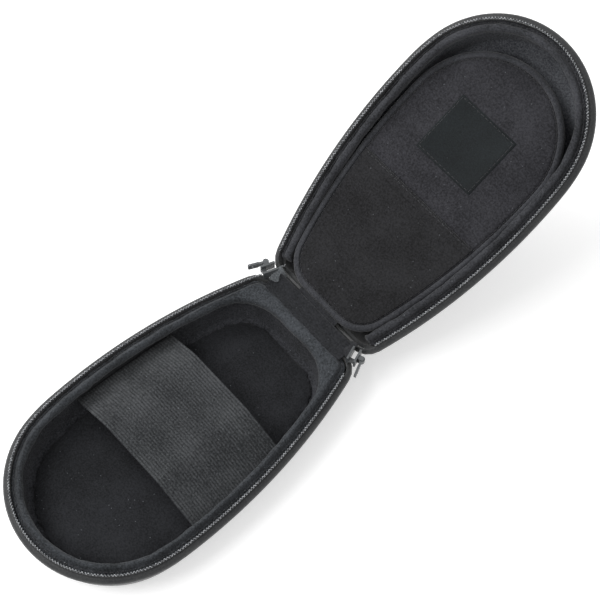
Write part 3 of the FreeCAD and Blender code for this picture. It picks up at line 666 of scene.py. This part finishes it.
# %% The lid's roll, and the folds of both
LID_ROLL_END = 15.0
lid_roll = draw_section("lid_roll", ROLL_START, [
    (-TAPE_FACE - 0.05, -4.3), (-1.8, -4.4), (-3.05, -3.9), ((-4.95, -3.4), 191, 10),
    (-6.85, -5.4), (-6.5, -7.4), (-5.4, -8.7), ROLL_HEEL])
close_section(lid_roll)
carry_round(zip_arcs(CORNER_TURN + LID_ROLL_END), 2.4)
for shrink, slip in ((0.86, 1.2), (0.72, 1.1), (0.5, 0.8)):
    pull((-slip * MM, 0.3 * slip * MM, -0.7 * slip * MM))
    bpy.ops.transform.resize(value=(shrink, shrink, shrink))
deselect()
mirror_left(lid_roll)
cap_ends(lid_roll)
outward(lid_roll)


def fold_texture(name, size_mm, depth):
    """A clouds texture whose lumps have a size."""
    texture = bpy.data.textures.new(name, "CLOUDS")
    texture.noise_scale = size_mm * MM
    texture.noise_depth = depth
    return texture


def crumple(piece, texture, by_mm, **settings):
    """Moves a surface in and out by a texture."""
    modify(piece, "DISPLACE", texture=texture, texture_coords="LOCAL", strength=by_mm * MM,
           mid_level=0.5, **settings)


slow_folds = fold_texture("slow folds", 11, 2)
fine_creases = fold_texture("fine creases", 4, 3)
for piece, half, finish in ((roll, "base", roll_cloth), (lid_roll, "lid", plush)):
    settle(piece, PLACES[half])
    modify(piece, "SUBSURF", levels=1, render_levels=1)
    crumple(piece, slow_folds, 1.2)
    crumple(piece, fine_creases, 0.5)
    dress(piece, half, [half + "_rim_band"], finish, 60.0, placed=True)

# %% [markdown]
# The zip tape stands on edge between the cover and the roll, from rear corner to rear corner.

# %% Zip tapes
COIL_RADIUS, COIL_UP = 0.7, -1.75
TAPE_TOP = COIL_UP - 0.35
for half in ("base", "lid"):
    tape = draw_section(half + "_tape", (TAPE_FACE, TAPE_FOOT + 0.1), [
        (TAPE_FACE, TAPE_TOP), (-TAPE_FACE, TAPE_TOP), (-TAPE_FACE, TAPE_FOOT + 0.1)])
    close_section(tape)
    sweep(tape, zip_arcs(CORNER_TURN), middle_pieces=0)
    cap_ends(tape)
    outward(tape)
    dress(tape, half, [half + "_zip_tape"], tape_cloth, 30.0)

# %% [markdown]
# The zip's teeth are turns of one stiff nylon thread, sewn to the tape's edge. A Screw
# modifier winds a ring of the thread on at the real pitch, and a Curve modifier lays the
# straight spring along the rim. Along the base it runs on a little past the corner.

# %% Zip coils
PITCH, THREAD, ZIP_END_BACK = 1.65, 0.28, 0.6
run_on = math.degrees(math.acos((flank_centre.y + ZIP_END_BACK) / FLANK_RADIUS))
# the coil is a dark nylon, painted mid to light grey: partly its own tone, partly painted
# highlight for the glints on its turns
nylon = wandering("nylon painted with glints", "#56585b", "#9a9c9f", 1.6, 1.0, 0.4, 0.6,
                  Roughness=0.2, Specular_IOR_Level=0.8, IOR=1.53)


def draw_line(name, place, arcs, middle_pieces=16):
    """A line that follows a chain of arcs."""
    return sweep(pen_down(name, place), arcs, (), LINE_STEP, middle_pieces)


def to_curve(line):
    """Turns a drawn line into a curve that another piece can be bent along."""
    pick(line)
    bpy.ops.object.convert(target="CURVE")
    return bpy.context.object


def wind_coil(name, path, length):
    """A spring of nylon thread, bent along a path."""
    deselect()
    bpy.ops.mesh.primitive_circle_add(vertices=5, radius=THREAD * MM,
                                      location=(0, 0, (COIL_RADIUS - THREAD) * MM),
                                      rotation=(math.pi / 2, 0, 0))
    coil = named(name)
    freeze()
    modify(coil, "SCREW", axis="X", angle=math.tau, screw_offset=PITCH * MM,
           iterations=int(length / PITCH), steps=9, render_steps=9)
    modify(coil, "CURVE", object=path, deform_axis="POS_X")
    cap_ends(coil)
    outward(coil)
    return coil


to_corner = sum(math.radians(b - a) * radius for _, radius, a, b in zip_arcs(CORNER_TURN))
for half, last in (("base", run_on), ("lid", CORNER_TURN)):
    path = to_curve(draw_line(half + "_coil_path", at_tip(0, COIL_UP), zip_arcs(last), 0))
    past_corner = math.radians(last - CORNER_TURN) * FLANK_RADIUS
    coil = wind_coil(half + "_coil", path, 2 * (to_corner + past_corner))
    bpy.data.objects.remove(path)
    dress(coil, half, [half + "_zip_coil"], nylon, 60.0)

# %% [markdown]
# A plush pad lies on the tray's floor, with a soft edge and a face that is never quite flat.
# It is drawn with a round border, filled, and swollen by pressure.

# %% Tray pad
PAD_EDGE = foot_out - 0.4
PAD_FLOOR = -DEPTH + WALL + LINING
PAD_FOOT, PAD_HELD, PAD_TOP = PAD_FLOOR + 0.02, PAD_FLOOR + 1.0, PAD_FLOOR + 2.0
pad = draw_section("tray_pad", (PAD_EDGE - 0.5, PAD_FOOT), [
    (PAD_EDGE, PAD_FLOOR + 0.3), (PAD_EDGE, PAD_FLOOR + 1.3), (PAD_EDGE - 0.4, PAD_TOP)])
sweep(pad, tray_arcs(), (PAD_FOOT, PAD_TOP))
puff(pad, lambda place: place.z < PAD_HELD * MM)
modify(pad, "SMOOTH", factor=0.5, iterations=4)
dress(pad, "base", ["base_floor_pad"], floor_plush, 50.0)

# %% [markdown]
# The strap is wide elastic: covered rubber threads side by side, which show as ribs along its
# length. One rib is drawn across the strap and repeated by an Array, and the ribbed line is
# then pulled along the strap's way: up from the wall, over a crown and down again.

# %% Elastic strap
# covered rubber threads: a mid grey, with painted shade in the valleys between the ribs
elastic_cloth = cloth("ribbed elastic", "#1f2123", "#454749", 1.0, 0.20, 0.88, 0.20, 0.9)
STRAP_NEAR, STRAP_FAR = -61.0, -122.0
STRAP_WIDTH, STRAP_THICKNESS = STRAP_NEAR - STRAP_FAR, 1.2
RIBS, RIB_UP = 38, 0.26
rib = STRAP_WIDTH / RIBS
CROWN_UP = -3.05
LEFT_CROWN, RIGHT_CROWN = -24.0, 17.0
WALL_REACH, END_UP = 48.5, -13.8
LEFT_BEND, RIGHT_BEND = 12.0, 1.6
WALL_CUT, WALL_LEAN, SEAM_REACH = 43.9, 4.3 / 55.0, 43.0
left_slope = math.atan2(CROWN_UP - END_UP, WALL_REACH + LEFT_CROWN)
right_slope = math.atan2(CROWN_UP - END_UP, WALL_REACH - RIGHT_CROWN)
left_lead = LEFT_BEND * math.tan(left_slope / 2)
right_lead = RIGHT_BEND * math.tan(right_slope / 2)

strap = pen_down("strap", (-WALL_REACH * MM, STRAP_FAR * MM, (END_UP - RIB_UP) * MM))
for step_y, step_z in ((0.25, 0.8), (0.25, 0.2), (0.25, -0.2), (0.25, -0.8)):
    pull((0, step_y * rib * MM, step_z * RIB_UP * MM))
deselect()
modify(strap, "ARRAY", count=RIBS, use_relative_offset=False, use_constant_offset=True,
       constant_offset_displace=(0, rib * MM, 0), use_merge_vertices=True,
       merge_threshold=0.02 * MM)


def pull_straight(start, end, pieces):
    """Pulls the selected ribs along a straight part of the way."""
    for _ in range(pieces):
        pull(Vector((end[0] - start[0], 0, end[1] - start[1])) * MM / pieces)


def bend_down(reach, radius, slope):
    """Spins the selected ribs over an edge of the crown."""
    spin((reach * MM, 0, (CROWN_UP - radius) * MM), math.degrees(slope), (0, 1, 0), 4)


select_where(strap, "VERT")
rise = Vector((math.cos(left_slope), math.sin(left_slope)))
fall = Vector((math.cos(right_slope), -math.sin(right_slope)))
pull_straight((-WALL_REACH, END_UP), Vector((LEFT_CROWN, CROWN_UP)) - rise * left_lead, 10)
bend_down(LEFT_CROWN + left_lead, LEFT_BEND, left_slope)
pull_straight((LEFT_CROWN + left_lead, CROWN_UP), (RIGHT_CROWN - right_lead, CROWN_UP), 14)
bend_down(RIGHT_CROWN - right_lead, RIGHT_BEND, right_slope)
pull_straight(Vector((RIGHT_CROWN, CROWN_UP)) + fall * right_lead, (WALL_REACH, END_UP), 12)
deselect()
select_where(strap, "FACE")
for side in (-1, 1):
    cut((side * WALL_CUT, STRAP_NEAR, 0), (side, WALL_LEAN, 0), clear_outer=True)
outward(strap)
upward(strap)
modify(strap, "SOLIDIFY", thickness=STRAP_THICKNESS * MM, offset=-1.0)
dress(strap, "base", ["elastic_strap"], elastic_cloth, 30.0)

# painted shade: a wave of bands darkens the valleys between the ribs
tree = elastic_cloth.node_tree
colour = tree.nodes["Principled BSDF"].inputs["Base Color"]
# the Wave texture's bands repeat every pi/10 at a scale of one: its phase grows by 20 a metre
rib_scale = math.pi / 10 / (rib * MM)
first_valley = HINGE.y + STRAP_FAR * MM
ribs = add_node(tree, "TexWave", {"Vector": add_node(tree, "TexCoord").outputs["Object"],
                                  "Scale": rib_scale,
                                  "Phase Offset": -20 * rib_scale * first_valley},
                wave_type="BANDS", bands_direction="Y", wave_profile="SIN")
valley_shade = add_node(tree, "MapRange", {"Value": ribs.outputs["Fac"], "From Max": 0.7,
                                     "To Min": 0.55})
ribs_painted_shade = add_node(tree, "MixRGB", {"Fac": 1.0, "Color1": colour.links[0].from_socket,
                                    "Color2": valley_shade.outputs[0]}, blend_type="MULTIPLY")
tree.links.new(ribs_painted_shade.outputs["Color"], colour)

# %% [markdown]
# Each end of the strap is sewn to the wall with a bar of tape below the roll.

# %% Strap ends
BAR_UP, BAR_THICKNESS = -10.0, 1.0
BAR_DOWN = BAR_UP - 5.6
bar_back = WALL + LINING
bar_face = bar_back + BAR_THICKNESS
for word in ("right", "left"):
    bar = draw_section(word + "_strap_bar", on_wall(bar_back, BAR_UP), [
        on_wall(bar_back, BAR_DOWN),
        on_wall(bar_face - 0.3, BAR_DOWN),
        on_wall(bar_face, BAR_DOWN + 0.4),
        on_wall(bar_face, BAR_UP - 0.4),
        on_wall(bar_face - 0.3, BAR_UP),
    ])
    close_section(bar)
    carry_round(zip_arcs(CORNER_TURN))
    select_where(bar, "FACE")
    for edge, sign in ((STRAP_NEAR, 1), (STRAP_FAR, -1)):
        cut((0, edge, 0), (0, sign, 0), clear_outer=True, use_fill=True)
    deselect()
    if word == "left":
        move_left(bar)
    outward(bar)
    dress(bar, "base", [word + "_strap_anchor"], tape_cloth, 30.0)

# %% [markdown]
# The flap is a thin board between two layers of knit. The arcs of its edge are worked out from
# the zip line, so that the flap keeps its distance to the roll.

# %% The flap's outline
FLAP_LENGTH, FLAP_CORNER, FLAP_EDGE = 169.5, 21.0, -3.0
BINDING_WIDTH = 3.4
SEAM_GROOVE, ROLL_WIDTH, FLAP_GAP = 2.6, 3.6, 0.4
flap_side = FLANK_RADIUS - TAPE_FACE - SEAM_GROOVE - ROLL_WIDTH - FLAP_GAP
flap_flank = flank_centre + Vector((0, FLAP_BACK))
past = FLAP_LENGTH + flap_flank.y
flap_far_radius = (flap_side ** 2 - flap_flank.x ** 2 - past ** 2) / (2 * (flap_side - past))
flap_far = Vector((0, flap_far_radius - FLAP_LENGTH))
flap_far_turn = math.degrees(math.atan2(-flap_flank.x, flap_flank.y - flap_far.y))
flap_corner, flap_corner_turn = corner_in(flap_flank, flap_side, FLAP_CORNER, FLAP_EDGE)
FLAP_ARCS = [(flap_far, flap_far_radius, 0.0, flap_far_turn),
             (flap_flank, flap_side, flap_far_turn, flap_corner_turn),
             (flap_corner, FLAP_CORNER, flap_corner_turn, 180.0)]
print("flap: far radius", round(flap_far_radius, 2), "corner", [round(c, 2) for c in flap_corner])


def at_flap_tip(out, up):
    """The same at the flap's far end, in the flap's own frame."""
    return Vector((0, -(FLAP_LENGTH + out) * MM, up * MM))


# %% [markdown]
# The padded panel is drawn as a border with a sewn groove, closed over front and back. The
# binding is a folded tape that is round at the very edge.

# %% Flap panel and binding
FACE_UP, EDGE_UP = 1.7, 0.95
panel = draw_section("flap_panel", (-6.0, FACE_UP), [
    (-4.7, FACE_UP - 0.15), (-4.2, EDGE_UP), (-0.6, EDGE_UP), (-0.6, -EDGE_UP),
    (-4.2, -EDGE_UP), (-4.7, 0.15 - FACE_UP), (-6.0, -FACE_UP)], at_flap_tip)
sweep(panel, FLAP_ARCS, (FACE_UP, -FACE_UP))
dress(panel, "flap", ["flap_back_cloth", "flap_board", "flap_front_cloth"],
      flap_cloth, 50.0)

binding = draw_section("flap_edge_tape", (-BINDING_WIDTH, FACE_UP - 0.6), [
    (-BINDING_WIDTH + 0.15, FACE_UP + 0.05), (-2.6, FACE_UP + 0.5), (-1.5, FACE_UP + 0.5),
    (-0.5, FACE_UP - 0.1), (0.0, 0.7), (0.0, -0.7), (-0.5, 0.1 - FACE_UP),
    (-1.5, -FACE_UP - 0.4), (-2.6, -FACE_UP - 0.4), (-BINDING_WIDTH + 0.15, -FACE_UP - 0.05),
    (-BINDING_WIDTH, 0.6 - FACE_UP)], at_flap_tip)
close_section(binding)
sweep(binding, FLAP_ARCS)
dress(binding, "flap", ["flap_binding"], binding_cloth, 60.0)

# %% [markdown]
# A pocket covers the half of the flap next to the hinge: one cloth with a sewn fold along its
# mouth. Its outline is the flap's, moved in, filled and cut across at the mouth.

# %% Pocket and its fold
POCKET_TOP, POCKET_INSET, HEM = -80.0, -4.6, 5.0
GRID = 5.0
SLACK_UP, SLACK_REACH, SLACK_HALF = 1.3, 30.0, 38.0


def slacken(piece):
    """Lets a layer rise and fall by the slow folds, and lifts the middle of the mouth."""
    crumple(piece, slow_folds, 0.7, direction="Z")
    for point in piece.data.vertices:
        near = max(0.0, 1.0 - abs(point.co.y - POCKET_TOP * MM) / (SLACK_REACH * MM))
        middle = max(0.0, 1.0 - (point.co.x / (SLACK_HALF * MM)) ** 2)
        point.co.z += SLACK_UP * MM * near * near * middle


def flap_layer(name, up, thickness, near=None):
    """A layer on the flap's front: the outline filled, cut across, and given its thickness."""
    piece = sweep(pen_down(name, at_flap_tip(POCKET_INSET, up)), FLAP_ARCS, step=1.8)
    select_where(piece, "VERT")
    bpy.ops.mesh.edge_face_add()
    cut((0, POCKET_TOP, 0), (0, -1, 0), clear_outer=True)
    if near is not None:
        cut((0, near, 0), (0, 1, 0), clear_outer=True)
    for k in range(-16, 0):
        cut((0, GRID * k, 0), (0, 1, 0))
    for k in range(-8, 9):
        cut((GRID * k, 0, 0), (1, 0, 0))
    select_all()
    bpy.ops.mesh.normals_make_consistent(inside=False)
    deselect()
    upward(piece)
    modify(piece, "SOLIDIFY", thickness=thickness * MM, offset=1.0)
    slacken(piece)
    return piece


# the pocket and its fold get the darker knit: painted shade
pocket = flap_layer("pocket_cloth", FACE_UP, 0.8)
dress(pocket, "flap", ["pocket_panel"], pocket_knit_painted_shade, 50.0)
hem = flap_layer("pocket_fold", FACE_UP + 0.8, 0.5, POCKET_TOP + HEM)
dress(hem, "flap", ["pocket_hem"], pocket_knit_painted_shade, 50.0)

# %% [markdown]
# The patch above the pocket is a woven square with turned edges, sewn on all round, and bare.

# %% Patch
PATCH = (40.0, 36.5)
PATCH_PLACE = (1.5, -117.0)
deselect()
bpy.ops.mesh.primitive_plane_add(size=1.0, location=(PATCH_PLACE[0] * MM, PATCH_PLACE[1] * MM,
                                                     FACE_UP * MM))
patch = named("bare_patch")
patch.scale = (PATCH[0] * MM, PATCH[1] * MM, 1)
freeze()
go_to("EDIT")
bpy.ops.mesh.inset(thickness=0.5 * MM, depth=0.5 * MM)
bpy.ops.mesh.inset(thickness=1.6 * MM, depth=0.0)
bpy.ops.mesh.inset(thickness=0.6 * MM, depth=-0.25 * MM)
deselect()
dress(patch, "flap", ["label_patch"], patch_cloth, 50.0)

# %% [markdown]
# The flap hangs from the lid by a narrow cloth, and a wider one joins the two halves. That one
# is drawn across the fold of the open case.

# %% Cloths at the hinge
def draw_ribbon(name, start, steps, width, pieces):
    """A line of steps across the fold, pulled to the right over a width."""
    ribbon = pen_down(name, Vector(start) * MM)
    for step in steps:
        pull(Vector((0, *step)) * MM)
    select_all()
    for _ in range(pieces):
        pull((width / pieces * MM, 0, 0))
    deselect()
    outward(ribbon)
    return ribbon


def bend_with_lid(piece, material):
    """Finishes a cloth that spans the fold, from the base to the lid, and keeps its place in the
    mesh.
    """
    settle(piece, base_place)
    coat(piece, material, 60.0)
    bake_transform(piece)


HANGER_HALF, STRIP_HALF, STRIP_SPAN = flap_corner.x + 1.5, 29.0, 12.4
hanger = draw_ribbon("flap_hanger", (-HANGER_HALF, FLAP_EDGE, 1.5),
                     [(1.6, 0.1), (1.4, -0.2), (1.0, -0.3)], 2 * HANGER_HALF, 12)
modify(hanger, "SOLIDIFY", thickness=0.5 * MM, offset=0.0)
dress(hanger, "flap", ["flap_hinge_cloth"], crease_cloth, 50.0)

strip = draw_ribbon("hinge_strip", (-STRIP_HALF, -8.0, -2.3),
                    [(1.6, 0.1), (1.8, -0.2), (1.8, -0.3), (1.4, -0.1), (1.1, 0.3), (1.0, 0.9),
                     (1.1, 1.2), (1.2, 1.0)], 2 * STRIP_HALF, 16)
modify(strip, "SUBSURF", levels=1, render_levels=1)
crumple(strip, fine_creases, 0.7)
modify(strip, "SOLIDIFY", thickness=0.7 * MM, offset=0.0)
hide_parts("base_hinge_cloth", "lid_hinge_cloth")
bend_with_lid(strip, crease_cloth)

# %% [markdown]
# At both ends of the fold the cloth has more length than it needs, so it stands up in a small
# pleat. A humped line is drawn across the fold and pulled towards the middle, each step a
# little smaller and lower, so that the pleat dies away under the strip.

# %% Pleats at the ends of the fold
PLEAT_LINE = ((-3.2, -2.9), (-2.3, -1.5), (-1.2, -0.5), (0.0, -0.1), (1.2, 0.3), (2.4, 1.1),
              (3.6, 1.9), (4.6, 2.1), (5.4, 1.5))
PLEAT_END, PLEAT_STEP = 30.6, 1.2
# the left pleat is painted lighter than the right one: a painted highlight
for word, finish in (("right", tape_cloth), ("left", fold_painted_highlight)):
    here = Vector((PLEAT_END, *PLEAT_LINE[0]))
    pleat = pen_down(word + "_pleat", here * MM)
    for place in PLEAT_LINE[1:]:
        there = Vector((PLEAT_END, *place))
        pull((there - here) * MM)
        here = there
    select_all()
    for sink in (0.1, 0.3, 0.6, 1.0, 1.4):
        pull((-PLEAT_STEP * MM, 0.05 * MM, -sink * MM))
        bpy.ops.transform.resize(value=(0.95, 0.95, 0.95))
    deselect()
    if word == "left":
        move_left(pleat)
    outward(pleat)
    modify(pleat, "SUBSURF", levels=1, render_levels=1)
    modify(pleat, "SOLIDIFY", thickness=0.5 * MM, offset=0.0)
    bend_with_lid(pleat, finish)

# %% [markdown]
# Seams show as rows of short dark stitches. One stitch is a bevelled sliver of thread with 26
# faces; an Array repeats it at the machine's stitch length, and a Curve modifier lays the row
# along an edge.

# %% A stitch, and rows of it
STITCH, STITCH_GAP, STITCH_THICK = 2.1, 0.9, 0.4


def stitch_row(name, length):
    """Stitches along X with even gaps, over a length in metres."""
    deselect()
    bpy.ops.mesh.primitive_cube_add(size=1.0)
    row = named(name)
    row.scale = (STITCH * MM, STITCH_THICK * MM, 0.8 * STITCH_THICK * MM)
    row.location = (STITCH / 2 * MM, 0, 0)
    freeze()
    go_to("EDIT")
    select_all()
    bpy.ops.mesh.bevel(offset=0.3 * STITCH_THICK * MM, segments=1)
    count = max(1, round(length / (STITCH + STITCH_GAP) / MM))
    modify(row, "ARRAY", count=count, use_relative_offset=False, use_constant_offset=True,
           constant_offset_displace=(length / count, 0, 0))
    return row


def sew_along(name, line):
    """A row of stitches along a drawn line, which is used up."""
    path = to_curve(line)
    path.data.twist_mode = "Z_UP"
    row = stitch_row(name, path.data.splines[0].calc_length())
    modify(row, "CURVE", object=path, deform_axis="POS_X")
    bpy.data.objects.remove(path)
    return row


def sew_line(name, start, end, up):
    """A straight row between two places in mm at a height."""
    run = Vector(end) - Vector(start)
    row = stitch_row(name, run.length * MM)
    turn = Matrix.Rotation(math.atan2(run.y, run.x), 4, "Z")
    settle(row, Matrix.Translation((start[0] * MM, start[1] * MM, up * MM)) @ turn)
    return row


print("a stitch is", STITCH, "mm long, with gaps of", STITCH_GAP, "mm")

# %% [markdown]
# The rows: round the flap beside its binding, round the patch, once across the pocket's
# hem, and along both rims, where the roll is sewn to the zip tape.

# %% The rows of stitches
SEW_INSET, PATCH_INSET, RIM_OUT, RIM_UP = -4.0, 1.3, -2.1, -3.75
flap_row = sew_along("flap_stitches", draw_line(
    "flap_line", at_flap_tip(SEW_INSET, FACE_UP - 0.45), FLAP_ARCS))

half_x, half_y = PATCH[0] / 2 - PATCH_INSET, PATCH[1] / 2 - PATCH_INSET
corners = [(PATCH_PLACE[0] + sx * half_x, PATCH_PLACE[1] + sy * half_y)
           for sx, sy in ((-1, -1), (1, -1), (1, 1), (-1, 1))]
patch_row = join_all([sew_line("patch_stitches", corners[k], corners[(k + 1) % 4], FACE_UP + 0.52)
                      for k in range(4)])
hem_row = sew_line("pocket_stitches", (-39.0, POCKET_TOP + 1.2), (39.0, POCKET_TOP + 1.2),
                   FACE_UP + 1.36)
slacken(hem_row)
for row in (flap_row, patch_row, hem_row):
    dress(row, "flap", None, thread_cloth, 60.0)

for half, last, middle_pieces in (("base", 180.0, 16), ("lid", CORNER_TURN, 0)):
    line = draw_line(half + "_line", at_tip(RIM_OUT, RIM_UP), zip_arcs(last), middle_pieces)
    dress(sew_along(half + "_stitches", line), half, None, thread_cloth, 60.0)

# %% [markdown]
# The sliders and their pulls are zinc castings under grey enamel, smooth and slightly glossy.
# The solids from CAD have the right shape and only get that finish.

# %% Slider enamel
enamel = wandering("grey enamel on zinc", "#2e3032", "#5a5d5f", 2.5, 4.0, 0.0, 1.0,
                   Roughness=0.45, Metallic=0.0, Coat_Weight=0.15)
for name in ("left_slider", "right_slider", "left_pull", "right_pull"):
    node = frame["nodes"][name]
    node.data.materials.clear()
    node.data.materials.append(enamel)
print("sliders enamelled")

# %% [markdown]
# The stage is a plain floor of white paper. What the camera sees of it is made whiter by a glow
# of its own, which lights nothing else.

# %% Floor
deselect()
bpy.ops.mesh.primitive_plane_add(size=6.0, location=(0, 0, -0.0002))
floor = bpy.context.object
floor.name = "floor"
floor_paint, tree, shader = new_material("white paper", Roughness=0.9)
shader.inputs["Base Color"].default_value = linear("#f4f4f4")
ray = add_node(tree, "LightPath").outputs
seen = maths(tree, "MAXIMUM", maths(tree, "MAXIMUM", ray["Is Camera Ray"],
                                     ray["Is Glossy Ray"]), ray["Is Transmission Ray"])
glow = add_node(tree, "Emission", {"Color": linear("#ffffff"),
                                   "Strength": maths(tree, "MULTIPLY", seen, 0.35)})
both = add_node(tree, "AddShader", {0: shader.outputs[0], 1: glow.outputs[0]})
tree.links.new(both.outputs[0], tree.nodes["Material Output"].inputs["Surface"])
floor.data.materials.append(floor_paint)
print("floor laid")

# %% [markdown]
# The light is a pale world and three soft boxes: a key on the left, a smaller one in front and a
# weak fill on the right. The camera stands where the photographer stood.

# %% Light and camera
world = bpy.data.worlds.new("studio")
bpy.context.scene.world = world
world.use_nodes = True
tree = world.node_tree
background = tree.nodes["Background"]
background.inputs["Color"].default_value = linear("#ffffff")
# the camera sees it white; it lights all else with two thirds of that
ray = add_node(tree, "LightPath").outputs
strength = maths(tree, "MULTIPLY_ADD", ray["Is Camera Ray"], 0.32, 0.68)
tree.links.new(strength, background.inputs["Strength"])


def set_up(name, data, place, look, roll=0.0):
    """Puts a lamp or a camera at a place, looking in a direction."""
    thing = bpy.data.objects.new(name, data)
    bpy.context.scene.collection.objects.link(thing)
    thing.location = place
    turn = Quaternion((0, 0, 1), math.radians(roll))
    thing.rotation_euler = (Vector(look).to_track_quat("-Z", "Y") @ turn).to_euler()
    return thing


for name, place, aim, size, power in (
        ("key box", (-0.95, -0.05, 0.95), (0, 0.0, 0), 0.7, 12.0),
        ("front box", (-0.2, -0.55, 0.95), (0, 0.1, 0.03), 0.4, 4.6),
        ("fill box", (0.9, -0.3, 1.2), (0, 0.08, 0), 1.0, 2.2)):
    lamp = bpy.data.lights.new(name, "AREA")
    lamp.size = size
    lamp.energy = power
    set_up(name, lamp, place, Vector(aim) - Vector(place))

lens = bpy.data.cameras.new("photo camera")
lens.sensor_width = 36.0
lens.lens = 119.8
lens.clip_start = 0.05
camera = set_up("photo camera", lens, (0.3033, -0.2159, 0.9924), (-0.2952, 0.2954, -0.9086),
                roll=3.26)
bpy.context.scene.camera = camera
bpy.context.scene.view_settings.view_transform = "Standard"
print("camera at", [round(c, 3) for c in camera.location])
